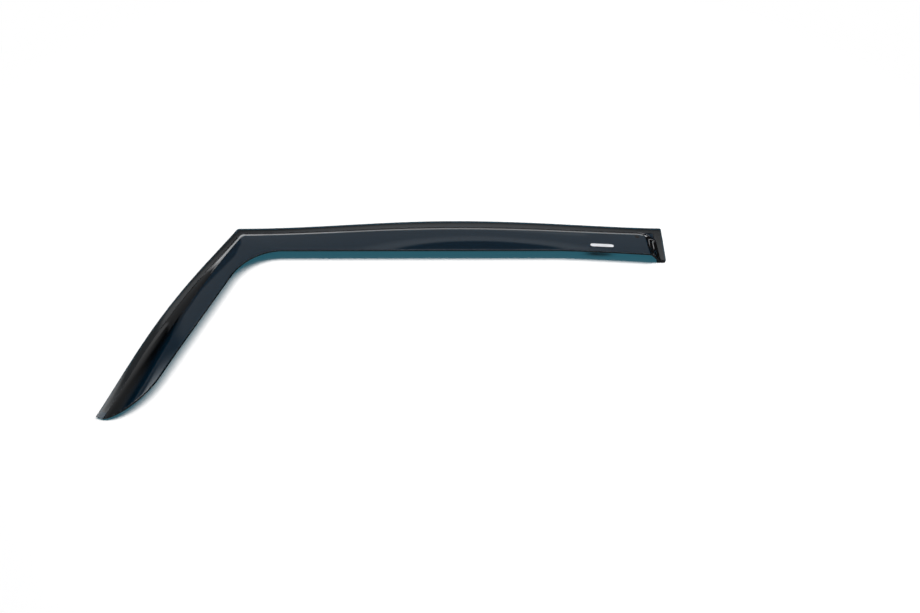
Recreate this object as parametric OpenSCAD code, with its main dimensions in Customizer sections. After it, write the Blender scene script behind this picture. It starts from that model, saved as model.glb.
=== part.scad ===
// Window rain deflector for the left door of a cab, lying on its bonding side.
// One thermoformed sheet of smoked acrylic, L-shaped in plan: a long run over the
// top of the door glass and an arm down the windscreen pillar. Its flange is held
// to the door frame by foam tape, and the tape still carries its release liner.
// X runs along the top edge to the rear end, Z stands off the door. Millimetres.

/* [Outline] */
// Straight distance between the front corner and the rear end of the top edge
top_len = 760; // [620:5:920]
// How far the top edge bows away from that straight line
top_bow = 19; // [0:0.5:30]
// How far the foot of the step bows, under the top edge
foot_bow = 15.5; // [0:0.5:25]
// Distance of the bow's peak from the front corner
bow_peak = 390; // [300:5:480]
// Straight length of the outer edge of the arm, from the corner to its tip
arm_len = 392; // [310:1:480]
// How steeply the arm falls away from the line of the top edge
arm_angle = 72.6; // [60:0.2:88]
// How far the outer edge of the arm bows away from its straight line
arm_bow = 15; // [0:0.5:24]
// Distance from the top line to the free edge over most of the run
front_depth = 67; // [55:1:80]
// Distance from the top line to the free edge at the rear end
rear_depth = 80; // [66:1:96]
// Length at the rear over which the free edge drops to that depth
rear_flare = 193; // [150:1:240]
// Distance from the arm's straight line to its free edge
arm_depth = 57; // [47:0.5:68]
// Length over which the free edge sweeps round to the tip
tip_sweep = 82; // [66:1:98]
// Width that is left at the very tip
tip_land = 10; // [8:0.5:12]
// Radius of the outer front corner
corner_r = 5; // [3:0.5:8]
// Radius of the free edge where the run turns into the arm
inner_r = 80; // [65:1:96]
// Lean of the rear end cut
end_cut = 4.8; // [0:0.2:8]
// Radius of the two corners of the rear end
end_corner_r = 3.5; // [2.8:0.1:4.2]

/* [Section] */
// Thickness of the acrylic sheet
sheet_t = 3; // [2.4:0.1:3.6]
// Width of the flat flange on the arm and at the ends of the run
flange_w = 12; // [12:0.5:15]
// Width of the flat flange across the rear end
end_flange_w = 16; // [13:0.5:20]
// Width of the sloping step behind the flange
step_w = 15; // [12.5:0.5:18]
// Width of the step at the tip, where it has melted into the blade
tip_step_w = 46; // [38:1:55]
// Width of the wall that closes the bulge at the rear
end_wall_w = 21; // [17:0.5:26]
// Height of the step above the flange
step_h = 6; // [4.5:0.1:7.2]
// Further rise from the step to the free edge
free_rise = 9.3; // [7:0.1:11.2]
// What is left of that rise at the tip of the arm
tip_rise = 6; // [4.8:0.1:7.2]
// Distance from the front corner at which the arm begins to flatten
flatten_from = 240; // [190:5:290]
// Crown of the body: 0 is a flat ramp, 1 is level at the free edge
crown = 0.4; // [0:0.05:0.8]
// Plan radius of the step's foot at the front corner
foot_r = 7; // [4:0.5:10]

/* [Tape] */
// Width of the foam tape on the top edge and the arm
tape_w = 10.5; // [8.5:0.5:10.5]
// Thickness of the foam tape
tape_t = 1.1; // [0.8:0.1:1.4]
// Distance from the edge of the sheet to the tape
tape_inset = 1.1; // [1.1:0.1:1.4]
// Gap between two strips of tape, and between the end strip and the foot of the wall
tape_gap = 1; // [0.5:0.1:2]
// Thickness of the red release liner
liner_t = 0.2; // [0.1:0.05:0.3]
// Length of each liner's pull tab past its tape
tab_len = 12; // [10:1:15]
// Width of each pull tab
tab_w = 8; // [6.5:0.5:9.5]

/* [Badge] */
// Length of the plain foil badge
badge_len = 40; // [32:1:48]
// Width of the badge
badge_w = 7.5; // [6:0.5:9]
// Thickness of the badge
badge_t = 0.35; // [0.25:0.05:0.5]
// Distance from the rear end of the top line to the badge's centre
badge_from_end = 116; // [93:1:140]
// Distance from the free edge to the badge's centre
badge_from_edge = 16; // [13:0.5:20]

/* [Hidden] */
smoke = [0.13, 0.17, 0.20];
foam_black = [0.07, 0.07, 0.075];
liner_red = [0.72, 0.09, 0.08];
foil_silver = [0.86, 0.88, 0.90];

// Powers that shape the bows: 2 leaves an end straight, 1 leaves it fully round
front_ease = 2;
rear_ease = 1.5;
arm_ease = 1.2;
// Power of the free edge's drop at the rear
flare_ease = 1.3;
// Power of the step, which rises at once from its foot and rounds over at its shoulder
step_ease = 1.6;
// Power by which the corner radius grows across the body
radius_ease = 2;
// Rounding of the bulge's rear corner, in widths of the step
wall_round = 1.6;
// Most of the blade's width that the flange takes near the tip
flange_share = 0.45;

// Steps of the mesh along the run, the corner, the arm and the tip
run_steps = 34;
corner_steps = 9;
arm_steps = 17;
tip_steps = 8;
// The rear stretch of the run has closer steps, for the end wall
wall_steps = 12;
flange_steps = 2;
rise_steps = 7;
body_steps = 4;
// Share of the body that the closer steps of the step take
step_share = 0.3;

deck_z = liner_t + tape_t + sheet_t;
wall_zone = end_flange_w + 1.7 * end_wall_w;
tip_from = arm_len - tip_sweep;
half_turn = arm_angle / 2;

function clamp(t, low = 0, high = 1) = min(high, max(low, t));
function ease(t) = let (c = clamp(t)) c * c * (3 - 2 * c);
function mix(a, b, t) = a + (b - a) * t;
function unit(v) = v / norm(v);
function camber(t) = let (c = clamp(t)) c * (1 + crown * (1 - c));
function shoulder(t) = 1 - pow(1 - clamp(t), step_ease);

// A point of the arm's own frame, a along its straight line and b inwards, in plan
function arm_plan(a, b) = [
    b * sin(arm_angle) - a * cos(arm_angle),
    -b * cos(arm_angle) - a * sin(arm_angle)
];

// Outer and free edge of the top run, as heights over the top line
function bow(x) =
    x < bow_peak
        ? pow(sin(90 * clamp(x / bow_peak)), front_ease)
        : pow(sin(90 * clamp((top_len - x) / (top_len - bow_peak))), rear_ease);
function top_edge(x) = top_bow * bow(x);
function top_foot(x) = foot_bow * bow(x) - flange_w;
function free_depth(x) =
    mix(front_depth, rear_depth, pow(clamp((x - top_len + rear_flare) / rear_flare), flare_ease));

// Outer and free edge of the arm, as distances in from its straight line
function arm_edge(a) = -arm_bow * pow(sin(180 * clamp(a / arm_len)), arm_ease);
function tip_cut(a) = arm_depth * sqrt(1 - pow(clamp((a - tip_from) / tip_sweep), 2));

// The station v runs from 0 at the outer edge to 1 at the foot of the step and 2 at the free edge
function top_y(x, v) =
    v < 1 ? mix(top_edge(x), top_foot(x), v)
          : mix(top_foot(x), -free_depth(x), v - 1);
function arm_flange(a) = min(flange_w, flange_share * (tip_cut(a) - arm_edge(a)));
function arm_b(a, v) =
    v < 1 ? arm_edge(a) + v * arm_flange(a)
          : mix(arm_edge(a) + arm_flange(a), tip_cut(a), v - 1);

// Where the straight parts of the line at station v end and its corner begins
function corner_radius(v) =
    v < 1 ? mix(corner_r, foot_r, v) : mix(foot_r, inner_r, pow(v - 1, radius_ease));
function corner_depth(v) = v < 1 ? v * flange_w : mix(flange_w, front_depth, v - 1);
function corner_arm_depth(v) = v < 1 ? v * flange_w : mix(flange_w, arm_depth, v - 1);
function cross_x(v) = (corner_arm_depth(v) - corner_depth(v) * cos(arm_angle)) / sin(arm_angle);
function cross_a(v) = (corner_depth(v) - corner_arm_depth(v) * cos(arm_angle)) / sin(arm_angle);
function run_end(v) = cross_x(v) + corner_radius(v) * tan(half_turn);
function arm_start(v) = cross_a(v) + corner_radius(v) * tan(half_turn);

// Height of the upper face: the step, then the crowned body
function rise(t, span, width, wall, upper_rise) =
    let (across = t * span / width,
         round_off = norm([max(wall_round - across, 0), max(wall_round - wall, 0)]))
    step_h * shoulder(wall_round - round_off) + upper_rise * camber(t) * ease(wall);
function wall_share(x) = (top_len - end_flange_w - x) / end_wall_w;

// Points of the upper face on the run, the corner and the arm
function run_point(x, v) =
    let (t = max(v - 1, 0),
         span = top_foot(x) + free_depth(x))
    [x, top_y(x, v), deck_z + rise(t, span, step_w, wall_share(x), free_rise)];
function rear_corner(v) =
    let (from_edge = min(v * flange_w, (2 - v) * (rear_depth - flange_w)),
         inside = max(end_corner_r - from_edge, 0))
    end_corner_r - sqrt(end_corner_r * end_corner_r - inside * inside);
function run_x(u, v) =
    mix(top_len, run_end(0), u) + (run_end(v) - run_end(0)) * u * u
    + (tan(end_cut) * top_y(top_len, v) - rear_corner(v)) * pow(1 - u, 8);
function arm_height(a, b) =
    let (span = arm_depth - arm_edge(a) - flange_w,
         t = max((b - arm_edge(a) - flange_w) / span, 0),
         width = mix(step_w, tip_step_w, ease((a - flange_w) / (arm_len - flange_w))),
         upper_rise = mix(free_rise, tip_rise, ease((a - flatten_from) / (arm_len - flatten_from))))
    deck_z + rise(t, span, width, 2 * wall_round, upper_rise);
function arm_point(a, v) =
    let (b = arm_b(a, v), p = arm_plan(a, b))
    [p.x, p.y, arm_height(a, b)];

// The corner is a conic arc, tangent to the run and to the arm
function corner_point(c, v) =
    let (e = 0.01,
         p0 = run_point(run_end(v), v),
         q0 = run_point(run_end(v) + e, v),
         p2 = arm_point(arm_start(v), v),
         q2 = arm_point(arm_start(v) + e, v),
         d0 = [p0.x - q0.x, p0.y - q0.y],
         d2 = [p2.x - q2.x, p2.y - q2.y],
         gap = [p2.x - p0.x, p2.y - p0.y],
         k = (gap.x * d2.y - gap.y * d2.x) / (d0.x * d2.y - d0.y * d2.x),
         p1 = [p0.x + k * d0.x, p0.y + k * d0.y],
         w = cos(half_turn),
         w0 = (1 - c) * (1 - c),
         w1 = 2 * w * c * (1 - c),
         w2 = c * c,
         sum = w0 + w1 + w2)
    [(w0 * p0.x + w1 * p1.x + w2 * p2.x) / sum,
     (w0 * p0.y + w1 * p1.y + w2 * p2.y) / sum,
     mix(p0.z, p2.z, ease(c))];

// Stations across the sheet, closer at both rims for the rounded corners
rim_share = end_corner_r / flange_w;
free_share = end_corner_r / (rear_depth - flange_w);
stations = concat(
    [0, rim_share / 5, rim_share],
    [for (i = [1 : flange_steps]) mix(rim_share, 1, i / flange_steps)],
    [for (i = [1 : rise_steps]) 1 + step_share * i / rise_steps],
    [for (i = [1 : body_steps]) mix(1 + step_share, 2 - free_share, i / body_steps)],
    [2 - free_share / 5, 2]);

// Lines of points from the rear end round the corner to the tip
wall_u = wall_zone / top_len;
tip_angle = acos(clamp(tip_land / arm_depth));
upper = concat(
    [for (i = [0 : wall_steps - 1]) let (u = wall_u * i / wall_steps)
        [for (v = stations) run_point(run_x(u, v), v)]],
    [for (i = [0 : run_steps - 1]) let (u = mix(wall_u, 1, i / run_steps))
        [for (v = stations) run_point(run_x(u, v), v)]],
    [for (i = [0 : corner_steps - 1])
        [for (v = stations) corner_point(i / corner_steps, v)]],
    [for (i = [0 : arm_steps - 1]) let (s = i / arm_steps)
        [for (v = stations) arm_point(mix(arm_start(v), tip_from, s), v)]],
    [for (i = [0 : tip_steps])
        [for (v = stations) arm_point(tip_from + tip_sweep * sin(tip_angle * i / tip_steps), v)]]);

rows = len(upper);
cols = len(stations);

// The lower face lies one sheet thickness under the upper one, square to it
function face_normal(i, j) =
    unit(cross(upper[min(i + 1, rows - 1)][j] - upper[max(i - 1, 0)][j],
               upper[i][min(j + 1, cols - 1)] - upper[i][max(j - 1, 0)]));
lower = [for (i = [0 : rows - 1])
    [for (j = [0 : cols - 1]) upper[i][j] - sheet_t * face_normal(i, j)]];

// The part's origin is under the middle of its plan
plan_x = [for (row = upper) for (p = row) p.x];
plan_y = [for (row = upper) for (p = row) p.y];
centre = [(min(plan_x) + max(plan_x)) / 2, (min(plan_y) + max(plan_y)) / 2, 0];

// Two grids of points, closed round their rims into one solid
module shell(top, bottom) {
    n = len(top);
    m = len(top[0]);
    function at(i, j) = i * m + j;
    under = n * m;
    rim = concat(
        [for (i = [0 : n - 2]) at(i, 0)],
        [for (j = [0 : m - 2]) at(n - 1, j)],
        [for (i = [n - 1 : -1 : 1]) at(i, m - 1)],
        [for (j = [m - 1 : -1 : 1]) at(0, j)]);
    faces = concat(
        [for (i = [0 : n - 2]) for (j = [0 : m - 2])
            each [[at(i, j), at(i, j + 1), at(i + 1, j + 1)],
                  [at(i, j), at(i + 1, j + 1), at(i + 1, j)]]],
        [for (i = [0 : n - 2]) for (j = [0 : m - 2])
            each [[under + at(i, j), under + at(i + 1, j + 1), under + at(i, j + 1)],
                  [under + at(i, j), under + at(i + 1, j), under + at(i + 1, j + 1)]]],
        [for (k = [0 : len(rim) - 1]) let (p = rim[k], q = rim[(k + 1) % len(rim)])
            each [[p, q, under + q], [p, under + q, under + p]]]);
    polyhedron(concat([for (row = top) each row], [for (row = bottom) each row]), faces);
}

module visor() {
    color(smoke) translate(-centre) shell(upper, lower);
}

// Outlines of the three strips, as lines of points along both sides
strip_steps = 32;
inner_edge = tape_inset + tape_w;
function top_strip_x(d, s) =
    mix((tape_inset - d * cos(arm_angle)) / sin(arm_angle) + corner_r / 2,
        top_len - tape_inset - tan(end_cut) * d, s);
function top_side(d) = [for (i = [0 : strip_steps])
    let (x = top_strip_x(d, i / strip_steps)) [x, top_edge(x) - d]];
butt_y = inner_edge + tape_gap;
function arm_strip_a(d, s) =
    mix((butt_y - d * cos(arm_angle)) / sin(arm_angle), arm_len - tape_inset - tip_land, s);
function arm_side(d) = [for (i = [0 : strip_steps])
    let (a = arm_strip_a(d, i / strip_steps)) arm_plan(a, arm_edge(a) + d)];
function end_x(inset, y) = top_len - inset + tan(end_cut) * y;
end_low = tape_inset - rear_depth;
end_inner = end_flange_w - tape_gap;
function reversed(list) = [for (i = [len(list) - 1 : -1 : 0]) list[i]];

module top_outline() polygon(concat(top_side(inner_edge), reversed(top_side(tape_inset))));
module pillar_outline() polygon(concat(arm_side(tape_inset), reversed(arm_side(inner_edge))));
module end_outline() polygon([
    [end_x(end_inner, -butt_y), -butt_y],
    [end_x(end_inner, end_low), end_low],
    [end_x(tape_inset, end_low), end_low],
    [end_x(tape_inset, -butt_y), -butt_y]
]);

// A strip of tape under the flange
module tape() {
    color(foam_black) translate([0, 0, liner_t] - centre) linear_extrude(tape_t) children();
}

// The liner under that tape, with a round-ended pull tab folded in under the hollow
module liner(place, heading) {
    color(liner_red) translate(-centre) linear_extrude(liner_t) union() {
        children();
        translate(place) rotate(heading) {
            translate([-tape_w / 2, -tab_w / 2]) square([tape_w / 2 + tab_len - tab_w / 2, tab_w]);
            translate([tab_len - tab_w / 2, 0]) circle(d = tab_w, $fn = 48);
        }
    }
}

module top_tape() tape() top_outline();
module pillar_tape() tape() pillar_outline();
module end_tape() tape() end_outline();

tab_x = top_len - end_flange_w - end_wall_w - tab_w;
tab_a = tip_from - tab_w;
end_tab_y = -rear_depth / 2;
module top_liner() liner([tab_x, top_edge(tab_x) - inner_edge], -90) top_outline();
module pillar_liner()
    liner(arm_plan(tab_a, arm_edge(tab_a) + inner_edge), arm_angle - 90) pillar_outline();
module end_liner() liner([end_x(end_inner, end_tab_y), end_tab_y], 180) end_outline();

// The badge is a foil with round ends that lies on the body
badge_lift = 0.04;
badge_steps = 20;
badge_x = top_len - badge_from_end;
badge_y = badge_from_edge - free_depth(badge_x);
function body_station(x, y) =
    let (foot = top_foot(x)) 1 + (foot - y) / (foot + free_depth(x));
function badge_half(s) =
    let (from_end = badge_len / 2 * (1 - abs(s)), r = badge_w / 2)
    from_end < r ? sqrt(r * r - pow(r - from_end, 2)) : r;
function badge_grid(lift) = [for (i = [0 : badge_steps])
    let (s = sin(90 * clamp(2 * i / badge_steps - 1, -0.97, 0.97)),
         x = badge_x + s * badge_len / 2)
    [for (side = [1, 0, -1])
        let (y = badge_y + side * badge_half(s))
        run_point(x, body_station(x, y)) + [0, 0, lift]]];

module badge() {
    color(foil_silver) translate(-centre)
        shell(reversed(badge_grid(badge_lift + badge_t)), reversed(badge_grid(badge_lift)));
}

visor();
top_tape();
pillar_tape();
end_tape();
top_liner();
pillar_liner();
end_liner();
badge();
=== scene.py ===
"""Looks of a smoked acrylic window rain deflector, built around its packed CAD part.

The sheet, its tape and its badge are numpy surfaces in the part's own frame, in metres.
Run as a script, it builds every piece, the stage and the camera.
"""

import math

import bpy
import numpy as np
from bpy.props import FloatProperty, FloatVectorProperty, PointerProperty
from bpy.types import Operator, Panel, PropertyGroup
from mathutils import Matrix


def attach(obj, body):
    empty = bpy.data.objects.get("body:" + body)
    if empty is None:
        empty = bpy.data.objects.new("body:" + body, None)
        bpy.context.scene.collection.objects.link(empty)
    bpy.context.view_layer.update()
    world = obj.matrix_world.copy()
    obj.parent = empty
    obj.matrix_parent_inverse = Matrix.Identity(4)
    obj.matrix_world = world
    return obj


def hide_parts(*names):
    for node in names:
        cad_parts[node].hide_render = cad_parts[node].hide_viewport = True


bl_info = {
    "name": "Window rain deflector",
    "version": (1, 0, 0),
    "blender": (4, 5, 0),
    "location": "3D Viewport > Sidebar > Deflector",
    "description": "Builds a smoked acrylic rain deflector with its tape, liners and badge",
    "category": "Object",
}

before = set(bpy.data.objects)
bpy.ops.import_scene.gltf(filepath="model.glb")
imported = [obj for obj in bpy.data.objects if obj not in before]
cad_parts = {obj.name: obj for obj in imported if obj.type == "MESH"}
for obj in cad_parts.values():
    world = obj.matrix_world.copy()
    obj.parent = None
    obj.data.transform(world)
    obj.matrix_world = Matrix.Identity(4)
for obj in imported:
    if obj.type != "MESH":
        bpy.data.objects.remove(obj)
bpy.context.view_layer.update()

MM = 0.001
BODY = "root"


def length(name, description, millimetres):
    """A length in metres, its default given in millimetres."""
    return FloatProperty(
        name=name, description=description, default=millimetres * MM, unit="LENGTH", precision=4
    )


def power(name, description, default):
    """A plain number, such as the power that shapes a bow."""
    return FloatProperty(name=name, description=description, default=default)


def colour(name, description, default):
    """A linear colour."""
    return FloatVectorProperty(
        name=name, description=description, default=default, size=3, subtype="COLOR", min=0, max=1
    )


class DeflectorOutline(PropertyGroup):
    """The sheet's outline in plan, from its outer front corner."""

    top_len: length("Top length", "Straight length of the top edge", 760)
    top_bow: length("Top bow", "How far the top edge bows out", 19)
    foot_bow: length("Foot bow", "How far the foot of the step bows under it", 15.5)
    bow_peak: length("Bow peak", "Distance of the bow's peak from the front corner", 390)
    arm_len: length("Arm length", "Straight length of the arm's outer edge", 392)
    arm_angle: FloatProperty(
        name="Arm angle",
        description="How steeply the arm falls away from the top line",
        default=math.radians(72.6),
        subtype="ANGLE",
    )
    arm_bow: length("Arm bow", "How far the arm's outer edge bows out", 15)
    front_depth: length("Front depth", "From the top line to the free edge", 67)
    rear_depth: length("Rear depth", "The same at the rear end", 80)
    rear_flare: length("Rear flare", "Length over which the free edge drops to it", 193)
    arm_depth: length("Arm depth", "From the arm's line to its free edge", 57)
    tip_sweep: length("Tip sweep", "Length over which the free edge sweeps to the tip", 82)
    tip_land: length("Tip width", "Width left at the very tip", 10)
    corner_r: length("Corner radius", "Radius of the outer front corner", 5)
    inner_r: length("Inner radius", "Radius of the free edge at the corner", 80)
    end_cut: FloatProperty(
        name="End cut",
        description="Lean of the rear end",
        default=math.radians(4.8),
        subtype="ANGLE",
    )
    end_corner_r: length("End corner radius", "Radius of the rear end's two corners", 3.5)
    front_ease: power("Front ease", "Power of the top bow before its peak", 2)
    rear_ease: power("Rear ease", "Power of the top bow behind its peak", 1.5)
    arm_ease: power("Arm ease", "Power of the arm's bow", 1.2)
    flare_ease: power("Flare ease", "Power of the free edge's drop at the rear", 1.3)
    radius_ease: power("Radius ease", "Power by which the corner radius grows inwards", 2)


class DeflectorSection(PropertyGroup):
    """The sheet's section: flange, step and crowned body."""

    sheet_t: length("Sheet thickness", "Thickness of the acrylic", 3)
    edge_droop: length("Edge droop", "How far the flange's outer edge sags as it is formed", 0.2)
    edge_round: length("Edge rounding", "Radius left on the cut edges by polishing", 0.4)
    flange_w: length("Flange width", "Width of the flat flange", 12)
    end_flange_w: length("End flange width", "Width of the flat flange at the rear end", 16)
    step_w: length("Step width", "Width of the sloping step", 15)
    tip_step_w: length("Tip step width", "Width of the step at the tip", 46)
    end_wall_w: length("End wall width", "Width of the wall that closes the bulge", 21)
    step_h: length("Step height", "Height of the step above the flange", 6)
    free_rise: length("Free rise", "Further rise from the step to the free edge", 9.3)
    tip_rise: length("Tip rise", "What is left of that rise at the tip", 6)
    flatten_from: length("Flatten from", "Where the arm begins to flatten", 240)
    crown: power("Crown", "0 is a flat ramp, 1 is level at the free edge", 0.4)
    foot_r: length("Foot radius", "Plan radius of the step's foot at the corner", 7)
    wall_round: power("Bulge rounding", "Rounding of the bulge's rear corner, in step widths", 1.6)
    step_ease: power("Step ease", "Power of the step, which rises at once from its foot", 1.6)
    droop_share: power("Droop share", "Share of the flange that sags", 0.65)
    flange_share: power("Flange share", "Most of the blade that the flange takes at the tip", 0.45)


class DeflectorTape(PropertyGroup):
    """Foam tape under the flange, and the liner under the tape."""

    tape_w: length("Tape width", "Width of the tape on the top edge and the arm", 10.5)
    tape_t: length("Tape thickness", "Thickness of the foam tape", 1.1)
    tape_inset: length("Tape inset", "From the edge of the sheet to the tape", 1.1)
    tape_gap: length("Tape gap", "Gap between two strips, or from the end strip to the wall", 1)
    liner_t: length("Liner thickness", "Thickness of the release liner", 0.2)
    sink: length("Sink", "How far the foam is pressed into what it sticks to", 0.04)


class DeflectorBadge(PropertyGroup):
    """A plain foil badge with round ends."""

    badge_len: length("Badge length", "Length over the round ends", 40)
    badge_w: length("Badge width", "Width across", 7.5)
    badge_t: length("Badge thickness", "Thickness of foil and clear coat", 0.35)
    badge_from_end: length("From rear end", "From the rear end to the badge's centre", 116)
    badge_from_edge: length("From free edge", "From the free edge to the badge's centre", 16)
    badge_lift: length("Glue line", "Thickness of the glue under the badge", 0.04)
    rim_w: length("Rim width", "Width of the raised rim", 0.6)


class DeflectorFinish(PropertyGroup):
    """Colours of the finishes."""

    smoke: colour("Smoke", "Light left after one way through the sheet", (0.022, 0.095, 0.15))
    # Painted shade: this near-black tint is the cut edge's own dark colour, and it also darkens the
    # steep parts (step, end wall) to stand in for the shade seen through them.
    edge_and_steep_shade: colour("Cut edge", "The same at the cut edge and in steep parts", (0.0, 0.004, 0.007))
    shade: colour("Shade", "Lamplight left after each face of the sheet", (0.12, 0.29, 0.34))
    foam: colour("Foam", "Black closed-cell foam", (0.012, 0.012, 0.013))
    foam_cell: colour("Foam cells", "The cut cells' paler rims", (0.035, 0.035, 0.038))
    liner: colour("Liner", "Red release film", (0.55, 0.015, 0.012))
    liner_fold: colour("Liner fold", "Paler red where the film is stretched", (0.70, 0.06, 0.05))
    foil: colour("Foil", "Bright silver foil", (0.86, 0.88, 0.90))
    foil_grain: colour("Foil grain", "The darker lines of the brushed foil", (0.62, 0.65, 0.69))


class DeflectorStage(PropertyGroup):
    """Floor, lamps and camera."""

    floor_r: length("Floor radius", "Radius of the round floor", 3500)
    lamp_height: length("Lamp height", "Height of the strip lamp", 6000)
    lamp_back: length("Lamp setback", "How far the strip lamp stands behind the part", 1400)
    lamp_right: length("Lamp offset", "How far its middle stands to the right", 1700)
    lamp_len: length("Lamp length", "Length of the strip lamp along the part", 8400)
    lamp_wide: length("Lamp width", "Width of the strip lamp", 2400)
    lamp_power: power("Lamp power", "Power of the strip lamp in watts", 650)
    lens: power("Lens", "Focal length of the camera in millimetres", 23.478)
    camera_x: length("Camera X", "Camera position", 77.045)
    camera_y: length("Camera Y", "Camera position", -590.171)
    camera_z: length("Camera Z", "Camera position", 772.43)
    camera_tilt: FloatProperty(
        name="Camera tilt", description="Tilt up from straight down",
        default=math.radians(37.6), subtype="ANGLE",
    )
    camera_turn: FloatProperty(
        name="Camera turn", description="Turn about the upright axis",
        default=math.radians(-0.076), subtype="ANGLE",
    )


# The sheet as functions of arrays


def ease(t):
    """Smooth step c*c*(3 - 2c), with c the value held between 0 and 1."""
    c = np.clip(t, 0, 1)
    return c * c * (3 - 2 * c)


def mix(a, b, t):
    """The value a share t of the way from a to b."""
    return a + (b - a) * t


def shares(count):
    """That many even shares, the last of them 1."""
    return np.arange(1, count + 1) / count


def xyz(x, y, z):
    """Three arrays of one shape as an array of points."""
    return np.stack(np.broadcast_arrays(x, y, z), -1)


class Sheet:
    """The upper face of the sheet. X runs along the top line, Y up the door, Z off the door.

    A station v is 0 at the outer edge, 1 at the foot of the step and 2 at the free edge.
    """

    wall_rows, run_rows, corner_rows, arm_rows, sweep_rows = 60, 190, 40, 110, 44
    flange_cols, step_cols, body_cols = 9, 22, 18
    step_share = 0.34  # share of the way from the foot to the free edge with closer columns
    crease = 0.01  # share of the flange, and of that way, between the foot and its neighbours
    wall_reach = 1.7  # wall widths past the end flange with closer rows

    def __init__(self, *groups):
        for group in groups:
            for name in group.__annotations__:
                setattr(self, name, getattr(group, name))
        self.tip_from = self.arm_len - self.tip_sweep
        self.deck_z = self.liner_t + self.tape_t + self.sheet_t
        self.wall_zone = self.end_flange_w + self.wall_reach * self.end_wall_w
        self.half_turn = self.arm_angle / 2
        self.tip_angle = math.acos(self.tip_land / self.arm_depth)
        self.arm_end = self.tip_from + self.tip_sweep * math.sin(self.tip_angle)

    def bow(self, x):
        """A quarter sine wave to a power on each side of the bow's peak, from 0 to 1 to 0."""
        front = np.sin(np.pi / 2 * np.clip(x / self.bow_peak, 0, 1)) ** self.front_ease
        behind = np.clip((self.top_len - x) / (self.top_len - self.bow_peak), 0, 1)
        return np.where(x < self.bow_peak, front, np.sin(np.pi / 2 * behind) ** self.rear_ease)

    def top_edge(self, x):
        """Outer edge of the run: the bow times its height."""
        return self.top_bow * self.bow(x)

    def top_foot(self, x):
        """Foot of the step: its own bow, one flange width down."""
        return self.foot_bow * self.bow(x) - self.flange_w

    def free_depth(self, x):
        """Depth of the free edge, which grows by a power towards the rear end."""
        t = np.clip((x - self.top_len + self.rear_flare) / self.rear_flare, 0, 1)
        return mix(self.front_depth, self.rear_depth, t**self.flare_ease)

    def arm_edge(self, a):
        """Outer edge of the arm: minus a half sine wave to a power."""
        wave = np.maximum(np.sin(np.pi * np.clip(a / self.arm_len, 0, 1)), 0)
        return -self.arm_bow * wave**self.arm_ease

    def tip_cut(self, a):
        """Free edge of the arm: straight, then a quarter ellipse to the tip."""
        t = np.clip((a - self.tip_from) / self.tip_sweep, 0, 1)
        return self.arm_depth * np.sqrt(1 - t * t)

    def arm_flange(self, a):
        """Width of the arm's flange, at most a share of the blade."""
        return np.minimum(self.flange_w, self.flange_share * (self.tip_cut(a) - self.arm_edge(a)))

    def arm_plan(self, a, b):
        """Plan of a point a along the arm and b in from its line: a turn by the arm's angle."""
        cos, sin = math.cos(self.arm_angle), math.sin(self.arm_angle)
        return b * sin - a * cos, -b * cos - a * sin

    def droop(self, v):
        """Sag of the flange over its outer part: the square of the share left to the edge."""
        return self.edge_droop * np.clip(1 - v / self.droop_share, 0, 1) ** 2

    def top_y(self, x, v):
        """Height in plan of station v: straight mixes from edge to foot to free edge."""
        foot = self.top_foot(x)
        inner = mix(foot, -self.free_depth(x), v - 1)
        return np.where(v < 1, mix(self.top_edge(x), foot, v), inner)

    def arm_b(self, a, v):
        """Distance of station v from the arm's line, by the same mixes."""
        edge, flange = self.arm_edge(a), self.arm_flange(a)
        return np.where(v < 1, edge + v * flange, mix(edge + flange, self.tip_cut(a), v - 1))

    def crossing(self, v):
        """Where station v's two straight lines cross, as distances along the run and the arm,
        and how far before that its corner begins: radius times the tangent of half the turn."""
        t = np.maximum(v - 1, 0)
        run = np.where(v < 1, v * self.flange_w, mix(self.flange_w, self.front_depth, t))
        arm = np.where(v < 1, v * self.flange_w, mix(self.flange_w, self.arm_depth, t))
        radius = np.where(
            v < 1,
            mix(self.corner_r, self.foot_r, v),
            mix(self.foot_r, self.inner_r, t**self.radius_ease),
        )
        cos, sin = math.cos(self.arm_angle), math.sin(self.arm_angle)
        back = radius * math.tan(self.half_turn)
        return (arm - run * cos) / sin + back, (run - arm * cos) / sin + back

    def rise(self, t, span, width, wall, upper_rise):
        """Height over the flange: a step 1 - (1 - s)**step_ease, rounded where it meets the end
        wall, plus a crowned rise c*(1 + crown*(1 - c)) over the share t of the body."""
        short = np.maximum(self.wall_round - t * span / width, 0)
        beside = np.maximum(self.wall_round - wall, 0)
        c = np.clip(t, 0, 1)
        crowned = c * (1 + self.crown * (1 - c))
        s = np.clip(self.wall_round - np.hypot(short, beside), 0, 1)
        step = self.step_h * (1 - (1 - s) ** self.step_ease)
        return step + upper_rise * crowned * ease(wall)

    def run_point(self, x, v):
        """Point of the run at distance x and station v."""
        wall = (self.top_len - self.end_flange_w - x) / self.end_wall_w
        span = self.top_foot(x) + self.free_depth(x)
        t = np.maximum(v - 1, 0)
        z = self.deck_z + self.rise(t, span, self.step_w, wall, self.free_rise)
        return xyz(x, self.top_y(x, v), z - self.droop(v))

    def rear_corner(self, v):
        """How far a quarter circle sets the rear end back near its two corners."""
        body = self.rear_depth - self.flange_w
        inside = np.maximum(self.end_corner_r - np.minimum(v * self.flange_w, (2 - v) * body), 0)
        return self.end_corner_r - np.sqrt(self.end_corner_r**2 - inside**2)

    def run_x(self, u, v):
        """Distance along the run at share u from the rear end: straight, with a square term
        that meets the corner's start and an eighth power that leans the rear end."""
        start, edge_start = self.crossing(v)[0], self.crossing(np.zeros(1))[0]
        lean = math.tan(self.end_cut) * self.top_y(self.top_len, v) - self.rear_corner(v)
        straight = mix(self.top_len, edge_start, u)
        return straight + (start - edge_start) * u * u + lean * (1 - u) ** 8

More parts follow.
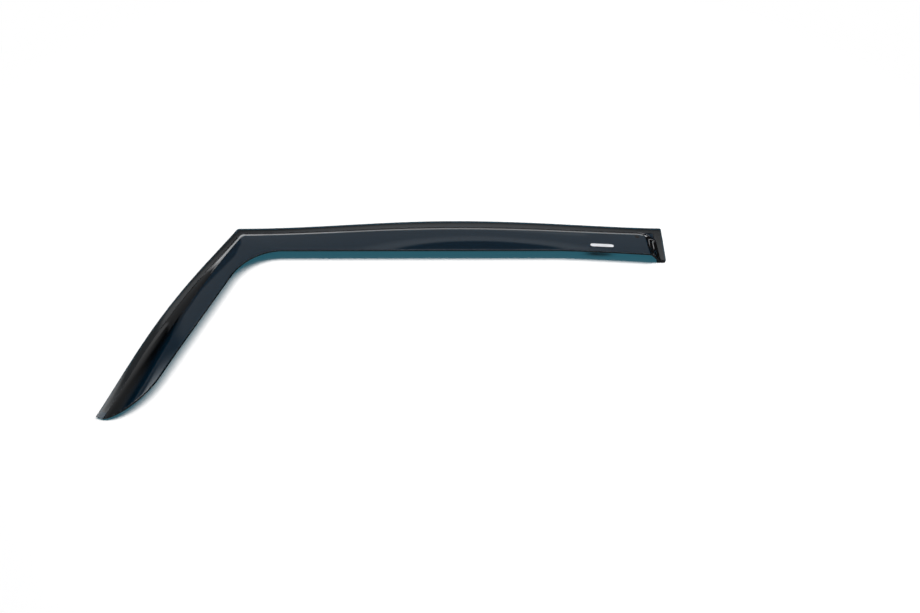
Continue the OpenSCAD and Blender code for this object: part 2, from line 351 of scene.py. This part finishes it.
    def arm_point(self, a, v):
        """Point of the arm at distance a and station v, far from the end wall: the step widens
        and the rise falls towards the tip, both by a smooth step."""
        b = self.arm_b(a, v)
        span = self.arm_depth - self.arm_edge(a) - self.flange_w
        t = np.maximum((b - self.arm_edge(a) - self.flange_w) / span, 0)
        along = ease((a - self.flange_w) / (self.arm_len - self.flange_w))
        flatter = ease((a - self.flatten_from) / (self.arm_len - self.flatten_from))
        width = mix(self.step_w, self.tip_step_w, along)
        upper_rise = mix(self.free_rise, self.tip_rise, flatter)
        x, y = self.arm_plan(a, b)
        z = self.deck_z + self.rise(t, span, width, 2 * self.wall_round, upper_rise)
        return xyz(x, y, z - self.droop(v))

    def corner_point(self, c, v):
        """Point of the corner: a rational conic from the run to the arm, with its middle
        weight the cosine of half the turn and its middle point where the tangents cross."""
        small = 0.01 * MM
        x, a = self.crossing(v)
        p0, p2 = self.run_point(x, v), self.arm_point(a, v)
        d0 = (p0 - self.run_point(x + small, v))[..., :2]
        d2 = (p2 - self.arm_point(a + small, v))[..., :2]
        gap = (p2 - p0)[..., :2]
        k = (gap[..., 0] * d2[..., 1] - gap[..., 1] * d2[..., 0]) / (
            d0[..., 0] * d2[..., 1] - d0[..., 1] * d2[..., 0]
        )
        p1 = p0[..., :2] + k[..., None] * d0
        weights = ((1 - c) ** 2, 2 * math.cos(self.half_turn) * c * (1 - c), c * c)
        w0, w1, w2 = (w[..., None] for w in weights)
        plan = (w0 * p0[..., :2] + w1 * p1 + w2 * p2[..., :2]) / (w0 + w1 + w2)
        return xyz(plan[..., 0], plan[..., 1], mix(p0[..., 2], p2[..., 2], ease(c)))

    def rounding(self, steps=5):
        """Distances from a rim, closer towards it: the rounding times 1 - cos of even angles."""
        return self.edge_round * (1 - np.cos(np.linspace(0, np.pi / 2, steps)))

    def stations(self, flange, body, slant):
        """Stations across each row, and their distances from the nearer long rim. Flange, body
        and slant are one value a row; slant is how much longer a step across the body is than
        the distance that it takes from a slanting free edge."""
        near = self.rounding()
        flange, body, slant = (np.asarray(w, float)[:, None] for w in (flange, body, slant))
        step = 1 + self.step_share * np.append(self.crease, shares(self.step_cols))
        rim, free = near[-1] / flange, 2 - near[-1] * slant / body
        v = np.concatenate(
            [
                near / flange,
                mix(rim, 1, np.append(shares(self.flange_cols)[:-1], (1 - self.crease, 1))),
                np.broadcast_to(step, (len(flange), len(step))),
                mix(step[-1], free, shares(self.body_cols)),
                2 - near[-2::-1] * slant / body,
            ],
            axis=1,
        )
        return v, np.minimum(v * flange, (2 - v) * body / slant)

    def upper_grid(self):
        """Points of the upper face, row by row from the rear end to the tip, and the distance
        of each from the nearest rim."""
        near = self.rounding()
        along = np.concatenate(
            [
                near,
                np.linspace(near[-1], self.wall_zone, self.wall_rows)[1:],
                np.linspace(self.wall_zone, self.top_len, self.run_rows)[1:-1],
            ]
        )
        u = (along / self.top_len)[:, None]
        x1 = self.run_x(u, np.ones((1, 1)))[:, 0]
        flange = self.top_edge(x1) - self.top_foot(x1)
        body = self.top_foot(x1) + self.free_depth(x1)
        v, rim = self.stations(flange, body, np.ones(len(u)))
        grids = [self.run_point(self.run_x(u, v), v)]
        rims = [np.minimum(rim, along[:, None])]

        c = np.linspace(0, 1, self.corner_rows + 1)[:-1, None]
        a1 = self.crossing(np.ones(1))[1]
        last = self.tip_cut(a1) - self.arm_edge(a1) - self.flange_w
        v, rim = self.stations(
            mix(flange[-1], self.flange_w, c[:, 0]), mix(body[-1], last, c[:, 0]), np.ones(len(c))
        )
        grids.append(self.corner_point(c, v))
        rims.append(rim)

        s = np.linspace(0, 1, self.arm_rows + 1)[:-1]
        angle = np.linspace(0, 1, self.sweep_rows) * self.tip_angle
        sweep = self.tip_from + self.tip_sweep * np.sin(angle)
        sweep = np.append(sweep[sweep < self.arm_end - near[-1]], self.arm_end - near[::-1])
        for a, share in ((mix(a1, self.tip_from, s), s), (sweep, None)):
            t = np.clip((a - self.tip_from) / self.tip_sweep, 0, 1)
            fall = self.arm_depth / self.tip_sweep * t / np.sqrt(1 - t * t)
            flange = self.arm_flange(a)
            body = self.tip_cut(a) - self.arm_edge(a) - flange
            v, rim = self.stations(flange, body, np.sqrt(1 + fall * fall))
            if share is None:
                a = a[:, None]
            else:
                a = mix(self.crossing(v)[1], self.tip_from, share[:, None])
            grids.append(self.arm_point(a, v))
            rims.append(np.minimum(rim, self.arm_end - a))
        return np.concatenate(grids), np.concatenate(rims)

    def half_thickness(self, rim):
        """Half the sheet's thickness at a distance from the rim: full, less a quarter circle
        of the edge rounding."""
        r = self.edge_round
        inside = np.clip(r - rim, 0, r)
        return self.sheet_t / 2 - r + np.sqrt(r * r - inside * inside)

    def across(self, grid):
        """Unit directions through the sheet: its normals, less their lean along the arm over
        the last tip width, where the crease at the step's foot runs out to the free edge."""
        down = np.array([-math.cos(self.arm_angle), -math.sin(self.arm_angle), 0])
        n = normals(grid)
        last = ease(2 + (grid @ down - self.arm_end) / self.tip_land)
        n = n - (last * (n @ down))[..., None] * down
        return n / np.linalg.norm(n, axis=-1, keepdims=True)

    def centre(self):
        """Middle of the sheet's plan, which is the part's origin."""
        plan = self.upper_grid()[0][..., :2].reshape(-1, 2)
        return np.append((plan.min(0) + plan.max(0)) / 2, 0)


def normals(grid):
    """Unit normals of a grid of points: the cross product of its two central differences."""
    n = np.cross(np.gradient(grid, axis=0), np.gradient(grid, axis=1))
    return n / np.linalg.norm(n, axis=-1, keepdims=True)


def sheet_of(context):
    """The sheet with the sizes that the sidebar holds."""
    scene = context.scene
    return Sheet(
        scene.deflector_outline,
        scene.deflector_section,
        scene.deflector_tape,
        scene.deflector_badge,
    )


# Meshes


def shell_faces(rows, cols):
    """Faces of two facing grids of points and of the rim between them, all facing outwards."""
    at = np.arange(rows * cols).reshape(rows, cols)
    under = rows * cols
    upper = np.stack([at[:-1, :-1], at[1:, :-1], at[1:, 1:], at[:-1, 1:]], -1).reshape(-1, 4)
    lower = upper[:, ::-1] + under
    rim = np.concatenate([at[:-1, 0], at[-1, :-1], at[:0:-1, -1], at[0, :0:-1]])
    after = np.roll(rim, -1)
    side = np.stack([rim, rim + under, after + under, after], -1)
    return np.concatenate([upper, lower, side]).tolist()


def tube_faces(rings, around):
    """Faces of rings of points, with a fan to one more point at each end."""
    at = np.arange(rings * around).reshape(rings, around)
    on = np.roll(at, -1, axis=1)
    wall = np.stack([at[:-1], on[:-1], on[1:], at[1:]], -1).reshape(-1, 4)
    first, last = rings * around, rings * around + 1
    start = np.stack([on[0], at[0], np.full(around, first)], -1)
    end = np.stack([at[-1], on[-1], np.full(around, last)], -1)
    return wall.tolist() + start.tolist() + end.tolist()


def make_piece(name, points, faces, material):
    """A smooth mesh object at the origin from points and faces, which rides on the body."""
    mesh = bpy.data.meshes.new(name)
    mesh.from_pydata(points.reshape(-1, 3).tolist(), [], faces)
    mesh.polygons.foreach_set("use_smooth", np.ones(len(mesh.polygons), bool))
    mesh.materials.append(material)
    mesh.update()
    piece = bpy.data.objects.new(name, mesh)
    bpy.context.collection.objects.link(piece)
    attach(piece, BODY)
    return piece


# Shader nodes


def adder(tree):
    """A function that adds a node of a kind, sets its properties, and fills or links its
    inputs, which are named by their label or number."""

    def add(kind, inputs=None, **settings):
        node = tree.nodes.new(kind)
        for key, value in settings.items():
            setattr(node, key, value)
        for key, value in (inputs or {}).items():
            socket = node.inputs[key]
            if isinstance(value, bpy.types.NodeSocket):
                tree.links.new(value, socket)
            else:
                socket.default_value = value
        return node

    return add


def new_material(name):
    """An empty node material, and a function that adds a node to it."""
    material = bpy.data.materials.new(name)
    material.use_nodes = True
    material.node_tree.nodes.clear()
    return material, adder(material.node_tree)


def blend(add, share, a, b):
    """The colour a share of the way from colour a to colour b."""
    return add("ShaderNodeMix", {0: share, 6: (*a, 1), 7: (*b, 1)}, data_type="RGBA").outputs[2]


def spread(add, value, low, high):
    """A value from 0 to 1 spread from low to high."""
    return add("ShaderNodeMapRange", {"Value": value, "To Min": low, "To Max": high}).outputs[0]


def bump(add, height, strength, distance, normal=None):
    """The normal that a height gives, on top of another normal where one is given."""
    inputs = {"Height": height, "Strength": strength, "Distance": distance}
    if normal is not None:
        inputs["Normal"] = normal
    return add("ShaderNodeBump", inputs).outputs[0]


def new_group(name, inputs, outputs):
    """An empty shader node group with float inputs (and their defaults) and outputs."""
    tree = bpy.data.node_groups.new(name, "ShaderNodeTree")
    for label, default in inputs:
        socket = tree.interface.new_socket(label, in_out="INPUT", socket_type="NodeSocketFloat")
        socket.default_value = default
    for label in outputs:
        tree.interface.new_socket(label, in_out="OUTPUT", socket_type="NodeSocketFloat")
    return tree


def ripple_group(name):
    """Slow ripple that forming leaves in a warm sheet, and fine grain on top of it."""
    tree = new_group(
        name, [("Ripple size", 30.0), ("Grain size", 900.0), ("Grain share", 0.1)], ["Height"]
    )
    add = adder(tree)
    given = add("NodeGroupInput").outputs
    place = add("ShaderNodeTexCoord").outputs["Object"]
    slow = add("ShaderNodeTexNoise", {"Vector": place, "Scale": given["Ripple size"],
                                      "Detail": 1.0, "Roughness": 0.4})
    fine = add("ShaderNodeTexNoise", {"Vector": place, "Scale": given["Grain size"],
                                      "Detail": 3.0, "Roughness": 0.6})
    height = add("ShaderNodeMath", {0: fine.outputs[0], 1: given["Grain share"],
                                    2: slow.outputs[0]}, operation="MULTIPLY_ADD")
    add("NodeGroupOutput", {"Height": height.outputs[0]})
    return tree


def marks_group(name):
    """Fine wipe marks from cleaning and handling: stretched noise cut down to thin lines."""
    tree = new_group(
        name, [("Length", 12.0), ("Width", 1500.0), ("Turn", 0.4), ("Share", 0.3)], ["Mask"]
    )
    add = adder(tree)
    given = add("NodeGroupInput").outputs
    place = add("ShaderNodeTexCoord").outputs["Object"]
    angle = add("ShaderNodeCombineXYZ", {"Z": given["Turn"]}).outputs[0]
    sizes = add("ShaderNodeCombineXYZ", {"X": given["Length"], "Y": given["Width"],
                                         "Z": given["Width"]}).outputs[0]
    turned = add("ShaderNodeMapping", {"Vector": place, "Rotation": angle}).outputs[0]
    stretched = add("ShaderNodeVectorMath", {0: turned, 1: sizes}, operation="MULTIPLY")
    lines = add("ShaderNodeTexNoise", {"Vector": stretched.outputs[0], "Scale": 1.0,
                                       "Detail": 2.0}).outputs[0]
    patches = add("ShaderNodeTexNoise", {"Vector": place, "Scale": 14.0,
                                         "Detail": 2.0}).outputs[0]
    thin = add("ShaderNodeMapRange", {"Value": lines, "From Min": 0.60, "From Max": 0.72})
    here = add("ShaderNodeMapRange", {"Value": patches, "From Min": 0.45, "From Max": 0.65})
    both = add("ShaderNodeMath", {0: thin.outputs[0], 1: here.outputs[0]}, operation="MULTIPLY")
    mask = add("ShaderNodeMath", {0: both.outputs[0], 1: given["Share"]}, operation="MULTIPLY")
    add("NodeGroupOutput", {"Mask": mask.outputs[0]})
    return tree


def shared(add, build, name, inputs):
    """Output of a node with the group of that name, which is built where it is missing."""
    tree = bpy.data.node_groups.get(name) or build(name)
    return add("ShaderNodeGroup", inputs, node_tree=tree).outputs[0]


def ripple(add, size, grain, share):
    """Height of the forming ripple. The sizes are counts of ripples and grains a metre."""
    inputs = {"Ripple size": size, "Grain size": grain, "Grain share": share}
    return shared(add, ripple_group, "Forming ripple", inputs)


def wipe_marks(add, **inputs):
    """Mask of the wipe marks."""
    return shared(add, marks_group, "Wipe marks", inputs)


def acrylic(finish):
    """Polished smoked acrylic. Its tint turns near-black by the points' rim attribute: at the cut
    edge, and in steep parts as painted shade. Lamps pass it as tinted light, through a Light
    Path switch."""
    material, add = new_material("smoked acrylic")
    height = ripple(add, size=26.0, grain=700.0, share=0.01)
    waves = bump(add, height, strength=0.012, distance=0.0012)
    scratched = bump(add, wipe_marks(add), strength=0.03, distance=0.0002, normal=waves)
    # The rim attribute holds the cut edge and, as painted shade, the steep parts of the sheet.
    rim = add("ShaderNodeAttribute", attribute_name="rim").outputs["Fac"]
    surface = add("ShaderNodeBsdfPrincipled", {
        "Base Color": blend(add, rim, finish.smoke, finish.edge_and_steep_shade), "Roughness": 0.025,
        "IOR": 1.49, "Transmission Weight": 1.0, "Normal": scratched,
    })
    clear = add("ShaderNodeBsdfTransparent", {"Color": (*finish.shade, 1)})
    shadow = add("ShaderNodeLightPath").outputs["Is Shadow Ray"]
    both = add("ShaderNodeMixShader", {0: shadow, 1: surface.outputs[0], 2: clear.outputs[0]})
    add("ShaderNodeOutputMaterial", {"Surface": both.outputs[0]})
    return material


def foam(finish):
    """Black closed-cell foam: small cells that show as pale rims and pits."""
    material, add = new_material("foam tape")
    place = add("ShaderNodeTexCoord").outputs["Object"]
    cells = add("ShaderNodeTexVoronoi", {"Vector": place, "Scale": 3200.0}, feature="F1")
    rims = add("ShaderNodeMapRange", {"Value": cells.outputs["Distance"], "From Min": 0.35,
                                      "From Max": 0.75}).outputs[0]
    surface = add("ShaderNodeBsdfPrincipled", {
        "Base Color": blend(add, rims, finish.foam, finish.foam_cell),
        "Roughness": spread(add, ripple(add, size=300.0, grain=2600.0, share=0.6), 0.75, 0.95),
        "Specular IOR Level": 0.3, "Normal": bump(add, rims, strength=0.5, distance=0.0001),
    })
    add("ShaderNodeOutputMaterial", {"Surface": surface.outputs[0]})
    return material


def liner_film(finish):
    """Red release film: satin, slightly rippled, with stretch marks and wipe marks."""
    material, add = new_material("liner film")
    waves = ripple(add, size=140.0, grain=1200.0, share=0.15)
    marks = wipe_marks(add, Share=0.8)
    surface = add("ShaderNodeBsdfPrincipled", {
        "Base Color": blend(add, marks, finish.liner, finish.liner_fold),
        "Roughness": spread(add, waves, 0.28, 0.5),
        "Normal": bump(add, waves, strength=0.35, distance=0.0004),
    })
    add("ShaderNodeOutputMaterial", {"Surface": surface.outputs[0]})
    return material


def silver_foil(finish):
    """Brushed silver foil under a clear coat. The grain runs along the badge."""
    material, add = new_material("silver foil")
    marks = wipe_marks(add, Length=60.0, Width=5000.0, Turn=0.0, Share=1.0)
    place = add("ShaderNodeTexCoord").outputs["Object"]
    grain = add("ShaderNodeMapping", {"Vector": place, "Scale": (80.0, 6000.0, 6000.0)})
    lines = add("ShaderNodeTexNoise", {"Vector": grain.outputs[0], "Scale": 1.0,
                                       "Detail": 3.0}).outputs[0]
    surface = add("ShaderNodeBsdfPrincipled", {
        "Base Color": blend(add, lines, finish.foil, finish.foil_grain), "Metallic": 0.3,
        "Roughness": spread(add, lines, 0.16, 0.36), "Coat Weight": 1.0,
        "Coat Roughness": 0.04, "Normal": bump(add, marks, strength=0.1, distance=0.0001),
    })
    add("ShaderNodeOutputMaterial", {"Surface": surface.outputs[0]})
    return material


# The pieces


STEEP_FROM, STEEP_TO = 11, 19  # degrees of tilt over which the tint turns to the cut edge's near-black, as painted shade


class DEFLECTOR_OT_visor(Operator):
    """Build the smoked acrylic sheet"""

    bl_idname = "deflector.visor"
    bl_label = "Acrylic sheet"

    def execute(self, context):
        sheet = sheet_of(context)
        upper, rim = sheet.upper_grid()
        up = sheet.across(upper)
        half = sheet.half_thickness(rim)[..., None]
        middle = upper - sheet.sheet_t / 2 * up
        points = np.stack([middle + half * up, middle - half * up]) - sheet.centre()
        piece = make_piece("visor_sheet", points, shell_faces(*rim.shape),
                           acrylic(context.scene.deflector_finish))
        # Painted shade: steep parts get the cut edge's near-black tint, which stands in for the
        # shade seen through them. The rim itself keeps its own dark edge.
        tilt = np.degrees(np.arccos(np.clip(up[..., 2], 0, 1)))
        steep = ease((tilt - STEEP_FROM) / (STEEP_TO - STEEP_FROM))
        dark = np.maximum(1 - ease(rim / sheet.edge_round), steep)
        mask = piece.data.attributes.new("rim", "FLOAT", "POINT")
        mask.data.foreach_set("value", np.tile(dark.ravel(), 2))
        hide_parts("visor")
        return {"FINISHED"}


def build_strip(name, node, sheet, inner, place, material):
    """A strip of foam: a rounded rectangle (a superellipse of the tenth power) carried along
    a path. Inner is its inner edge's distance from the sheet's edge, and place gives the
    plan of a point at a distance in from that edge and a share along the strip."""
    around, rings, sharp = 40, 160, 2 / 10
    angle = np.arange(around) * 2 * np.pi / around + np.pi / around
    across = np.sign(np.cos(angle)) * np.abs(np.cos(angle)) ** sharp
    upright = np.sign(np.sin(angle)) * np.abs(np.sin(angle)) ** sharp
    share = np.linspace(0, 1, rings)[:, None]
    inwards = mix(sheet.tape_inset, inner, (1 + across[None, :]) / 2)
    middle = sheet.liner_t + sheet.tape_t / 2
    z = middle + (sheet.tape_t / 2 + sheet.sink) * upright[None, :]
    x, y = place(inwards, share)
    points = xyz(x, y, z)
    ends = points[[0, -1]].mean(axis=1)
    points = np.concatenate([points.reshape(-1, 3), ends]) - sheet.centre()
    piece = make_piece(name, points, tube_faces(rings, around), material)
    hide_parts(node)


class DEFLECTOR_OT_tape(Operator):
    """Build the three strips of foam tape"""

    bl_idname = "deflector.tape"
    bl_label = "Foam tape"

    def execute(self, context):
        sheet = sheet_of(context)
        cos, sin = math.cos(sheet.arm_angle), math.sin(sheet.arm_angle)
        lean = math.tan(sheet.end_cut)
        inner = sheet.tape_inset + sheet.tape_w
        butt = inner + sheet.tape_gap
        end_inner = sheet.end_flange_w - sheet.tape_gap

        def along_top(d, s):
            start = (sheet.tape_inset - d * cos) / sin + sheet.corner_r / 2
            x = mix(start, sheet.top_len - sheet.tape_inset - lean * d, s)
            return x, sheet.top_edge(x) - d

        def down_arm(d, s):
            a = mix((butt - d * cos) / sin, sheet.arm_len - sheet.tape_inset - sheet.tip_land, s)
            return sheet.arm_plan(a, sheet.arm_edge(a) + d)

        def down_end(d, s):
            y = mix(-butt, sheet.tape_inset - sheet.rear_depth, s)
            return sheet.top_len - d + lean * y, y + 0 * d

        material = foam(context.scene.deflector_finish)
        build_strip("tape_along_top", "top_tape", sheet, inner, along_top, material)
        build_strip("tape_down_arm", "pillar_tape", sheet, inner, down_arm, material)
        build_strip("tape_down_end", "end_tape", sheet, end_inner, down_end, material)
        return {"FINISHED"}


class DEFLECTOR_OT_liners(Operator):
    """Finish the three release liners"""

    bl_idname = "deflector.liners"
    bl_label = "Release liners"

    def execute(self, context):
        material = liner_film(context.scene.deflector_finish)
        for node in ("top_liner", "pillar_liner", "end_liner"):
            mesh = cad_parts[node].data
            mesh.materials.clear()
            mesh.materials.append(material)
        return {"FINISHED"}


class DEFLECTOR_OT_badge(Operator):
    """Build the plain foil badge on the sheet"""

    bl_idname = "deflector.badge"
    bl_label = "Badge"

    def execute(self, context):
        sheet = sheet_of(context)
        rows, cols, reach = 121, 41, 0.985  # the last row stops just short of the round end
        bevel_share, sunk, domed, foot_share = 0.4, 0.35, 0.3, 0.15
        half, r = sheet.badge_len / 2, sheet.badge_w / 2
        along = half * np.sin(np.pi / 2 * np.linspace(-1, 1, rows) * reach)[:, None]
        beyond = np.maximum(np.abs(along) - (half - r), 0)
        wide = np.sqrt(r * r - beyond * beyond)
        y = wide * np.sin(np.pi / 2 * np.linspace(1, -1, cols))[None, :]
        inside = r - np.hypot(beyond, y)
        bevel = ease(inside / (bevel_share * sheet.rim_w))
        rim = bevel * (1 - sunk * ease(inside / sheet.rim_w - 1))
        dome = domed * ease((inside - 2 * sheet.rim_w) / r)
        thick = sheet.badge_t * mix(foot_share, 1, rim + dome)
        x = sheet.top_len - sheet.badge_from_end + along + 0 * y
        y = sheet.badge_from_edge - sheet.free_depth(x) + y
        foot = sheet.top_foot(x)
        ground = sheet.run_point(x, 1 + (foot - y) / (foot + sheet.free_depth(x)))
        lift = xyz(0, 0, sheet.badge_lift + thick)
        lower = ground + np.array([0, 0, sheet.badge_lift])
        points = np.stack([ground + lift, lower])[:, ::-1] - sheet.centre()
        piece = make_piece("foil_badge", points, shell_faces(*thick.shape),
                           silver_foil(context.scene.deflector_finish))
        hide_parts("badge")
        return {"FINISHED"}


# The stage


FLOOR_SIDES = 96


def floor_material():
    """Matt white table. From 0.6 to 1.3 m off its middle it turns plain white to the camera
    and through glass, so it runs into the background without an edge."""
    material, add = new_material("white table")
    surface = add("ShaderNodeBsdfDiffuse", {"Color": (0.9, 0.9, 0.9, 1)})
    plain = add("ShaderNodeEmission", {"Color": (1, 1, 1, 1), "Strength": 1.0})
    place = add("ShaderNodeTexCoord").outputs["Object"]
    away = add("ShaderNodeVectorMath", {0: place}, operation="LENGTH").outputs["Value"]
    far = add("ShaderNodeMapRange", {"Value": away, "From Min": 0.6, "From Max": 1.3},
              interpolation_type="SMOOTHSTEP").outputs[0]
    path = add("ShaderNodeLightPath").outputs
    seen = add("ShaderNodeMath", {0: path["Is Camera Ray"], 1: path["Is Transmission Ray"]},
               operation="MAXIMUM").outputs[0]
    share = add("ShaderNodeMath", {0: far, 1: seen}, operation="MULTIPLY").outputs[0]
    both = add("ShaderNodeMixShader", {0: share, 1: surface.outputs[0], 2: plain.outputs[0]})
    add("ShaderNodeOutputMaterial", {"Surface": both.outputs[0]})
    return material


# What glossy rays see of the room: level, then from and to in degrees of azimuth (0 behind the
# part, positive to its rear end) and of elevation, and how wide the panel's soft edges are.
# A later panel covers an earlier one.
ROOM_LEVEL = 0.46
PANELS = (
    (0.30, -180, 180, 38, 90, 2.0),  # dim cornice
    (1.20, -180, 180, 42.9, 90, 4.6),  # pale ceiling
    (0.08, -180, 180, 48.5, 62, 3.0),  # dark beam across it
    (0.66, -6, 14, 22, 26.8, 1.0),  # glow over the back wall
    (0.05, -45, 22.5, -90, 9, 1.0),  # dark foot of the back wall
    (0.05, 22.5, 80, -90, 36, 2.0),  # dark right side
    (0.13, -46, -31, 18, 29.6, 1.5),  # dark left end of the back wall
    (0.03, -180, 180, -90, 0, 2.0),  # dark under the horizon
    (0.18, -51.5, -46, -90, 33, 0.6),  # grey part of the left side
    (0.18, -46.5, -42.5, -90, 18, 0.8),  # the same, wider at its foot
    (0.02, -120, -51.5, 6, 31, 1.5),  # dark rest of the left side
    (0.02, -120, -49.3, 16, 30.5, 1.5),  # the same, wider higher up
    (0.20, -120, -57.5, -90, 24, 5.0),  # low glow on the left
    (0.45, -120, -54.5, -90, 11, 8.0),  # its brighter foot
    (0.20, -120, -46, 33, 43, 3.0),  # dim band over the left side
    (0.42, -49, -40.5, 42, 75, 2.0),  # dimmer ceiling beside the softbox
    (4.20, -110, -51.5, 41, 75, 9.0),  # softbox at the upper left
    (1.60, -13, 22.5, -9, 14, 1.5),  # right part of a low lamp along the back wall
    (2.00, -20, -12, -9, 16, 1.5),  # its middle part
    (2.40, -43.0, -19, -9, 17, 2.0),  # its left part
    (2.50, 25, 31, -12, 6, 2.0),  # small lamp to its right
    (2.00, 41, 42.2, -40, 6, 0.8),  # the wider of two upright strips on the right
    (1.60, 46.4, 47.2, -40, 4, 0.6),  # the thinner one
    (0.25, 100, 180, -90, 40, 2.0),  # right half of the dim front
    (0.25, -180, -110, -90, 40, 2.0),  # its left half
)
# A dark oval on the back wall, half under the cornice: azimuth, elevation and both radii
HAZE = (3.0, 40.0, 12.5, 7.4)
HAZE_GLOW, HAZE_DARK = 0.72, 0.13  # levels around the oval and in it
GLOW_LOW, GLOW_FULL = 26.0, 30.0  # elevations over which the glow around it comes in


def sky(world):
    """White to the camera; panels of light in a grey room to glossy rays; faint and even to
    everything else. A panel's mask is the product of its four smooth edges."""
    world.use_nodes = True
    tree = world.node_tree
    tree.nodes.clear()
    add = adder(tree)

    def maths(operation, a, b=0.0):
        return add("ShaderNodeMath", {0: a, 1: b}, operation=operation).outputs[0]

    def edge(value, none, full):
        return add("ShaderNodeMapRange", {"Value": value, "From Min": none, "From Max": full},
                   interpolation_type="SMOOTHSTEP").outputs[0]

    def band(value, start, end, half):
        return maths("MULTIPLY", edge(value, start - half, start + half),
                     edge(value, end + half, end - half))

    def off_haze(value, middle, radius):
        return maths("POWER", maths("DIVIDE", maths("SUBTRACT", value, middle), radius), 2.0)

    def paint(level, value, mask):
        return add("ShaderNodeMix", {0: mask, 2: level, 3: value}).outputs[0]

    way = add("ShaderNodeTexCoord").outputs["Generated"]
    x, y, z = add("ShaderNodeSeparateXYZ", {0: way}).outputs
    azimuth = maths("DEGREES", maths("ARCTAN2", x, y))
    elevation = maths("DEGREES", maths("ARCSINE", z))
    level = add("ShaderNodeValue").outputs[0]
    level.default_value = ROOM_LEVEL
    haze_azimuth, haze_elevation, haze_wide, haze_high = HAZE
    far = maths("ADD", off_haze(azimuth, haze_azimuth, haze_wide),
                off_haze(elevation, haze_elevation, haze_high))
    around = maths("MULTIPLY", edge(far, 2.0, 1.25), edge(elevation, GLOW_LOW, GLOW_FULL))
    level = paint(level, HAZE_GLOW, around)
    level = paint(level, HAZE_DARK, edge(far, 1.05, 0.75))
    for value, west, east, low, high, soft in PANELS:
        mask = maths("MULTIPLY", band(azimuth, west, east, soft / 2),
                     band(elevation, low, high, soft / 2))
        level = paint(level, value, mask)
    path = add("ShaderNodeLightPath")
    direct = maths("LESS_THAN", path.outputs["Diffuse Depth"], 0.5)
    mirrored = maths("MULTIPLY", path.outputs["Is Glossy Ray"], direct)
    even = add("ShaderNodeBackground", {"Color": (0.93, 0.97, 1.0, 1), "Strength": 0.035})
    seen = add("ShaderNodeBackground", {"Color": (0.97, 0.98, 1.0, 1), "Strength": level})
    white = add("ShaderNodeBackground", {"Color": (1, 1, 1, 1), "Strength": 1.0})
    glossy = add("ShaderNodeMixShader", {0: mirrored, 1: even.outputs[0], 2: seen.outputs[0]})
    camera = add("ShaderNodeMixShader", {0: path.outputs["Is Camera Ray"], 1: glossy.outputs[0],
                                         2: white.outputs[0]})
    add("ShaderNodeOutputWorld", {"Surface": camera.outputs[0]})


class DEFLECTOR_OT_stage(Operator):
    """Build the floor, the light and the camera"""

    bl_idname = "deflector.stage"
    bl_label = "Stage"

    def execute(self, context):
        stage = context.scene.deflector_stage
        turn = 2 * np.pi * shares(FLOOR_SIDES)
        ring = xyz(stage.floor_r * np.cos(turn), stage.floor_r * np.sin(turn), 0 * turn)
        mesh = bpy.data.meshes.new("table")
        mesh.from_pydata(ring.tolist(), [], [list(range(len(ring)))])
        mesh.materials.append(floor_material())
        table = bpy.data.objects.new("table", mesh)
        context.collection.objects.link(table)
        table.visible_glossy = False

        lamp = bpy.data.lights.new("strip lamp", "AREA")
        lamp.shape = "RECTANGLE"
        lamp.size, lamp.size_y = stage.lamp_len, stage.lamp_wide
        lamp.energy = stage.lamp_power
        holder = bpy.data.objects.new("strip lamp", lamp)
        away = (stage.lamp_right, stage.lamp_back, stage.lamp_height)
        holder.location = away
        lean = math.asin(stage.lamp_back / math.hypot(*away))
        holder.rotation_euler = (-lean, math.atan2(stage.lamp_right, stage.lamp_height), 0)
        holder.visible_glossy = False
        holder.visible_camera = False
        holder.visible_transmission = False
        context.collection.objects.link(holder)

        context.scene.world = bpy.data.worlds.new("studio")
        sky(context.scene.world)

        lens = bpy.data.cameras.new("camera")
        lens.lens, lens.sensor_width = stage.lens, 36.0
        lens.clip_start, lens.clip_end = 0.01, 100.0
        camera = bpy.data.objects.new("camera", lens)
        camera.location = (stage.camera_x, stage.camera_y, stage.camera_z)
        camera.rotation_euler = (stage.camera_tilt, 0, stage.camera_turn)
        context.collection.objects.link(camera)
        context.scene.camera = camera
        context.scene.view_settings.view_transform = "Standard"
        return {"FINISHED"}


class DEFLECTOR_PT_panel(Panel):
    """Sizes, colours and buttons of the deflector"""

    bl_idname = "DEFLECTOR_PT_panel"
    bl_label = "Rain deflector"
    bl_space_type = "VIEW_3D"
    bl_region_type = "UI"
    bl_category = "Deflector"

    def draw(self, context):
        for operator in OPERATORS:
            self.layout.operator(operator.bl_idname)
        for attribute, group in GROUPS:
            box = self.layout.box()
            box.label(text=group.__doc__)
            values = getattr(context.scene, attribute)
            for name in group.__annotations__:
                box.prop(values, name)


GROUPS = (
    ("deflector_outline", DeflectorOutline),
    ("deflector_section", DeflectorSection),
    ("deflector_tape", DeflectorTape),
    ("deflector_badge", DeflectorBadge),
    ("deflector_finish", DeflectorFinish),
    ("deflector_stage", DeflectorStage),
)
OPERATORS = (
    DEFLECTOR_OT_visor,
    DEFLECTOR_OT_tape,
    DEFLECTOR_OT_liners,
    DEFLECTOR_OT_badge,
    DEFLECTOR_OT_stage,
)


def register():
    """Adds the property groups, operators and panel."""
    for attribute, group in GROUPS:
        bpy.utils.register_class(group)
        setattr(bpy.types.Scene, attribute, PointerProperty(type=group))
    for operator in OPERATORS:
        bpy.utils.register_class(operator)
    bpy.utils.register_class(DEFLECTOR_PT_panel)


def unregister():
    """Takes them away again, last first."""
    bpy.utils.unregister_class(DEFLECTOR_PT_panel)
    for operator in reversed(OPERATORS):
        bpy.utils.unregister_class(operator)
    for attribute, group in reversed(GROUPS):
        delattr(bpy.types.Scene, attribute)
        bpy.utils.unregister_class(group)


def main():
    register()
    bpy.ops.deflector.visor()
    bpy.ops.deflector.tape()
    bpy.ops.deflector.liners()
    bpy.ops.deflector.badge()
    bpy.ops.deflector.stage()


if __name__ == "__main__":
    main()
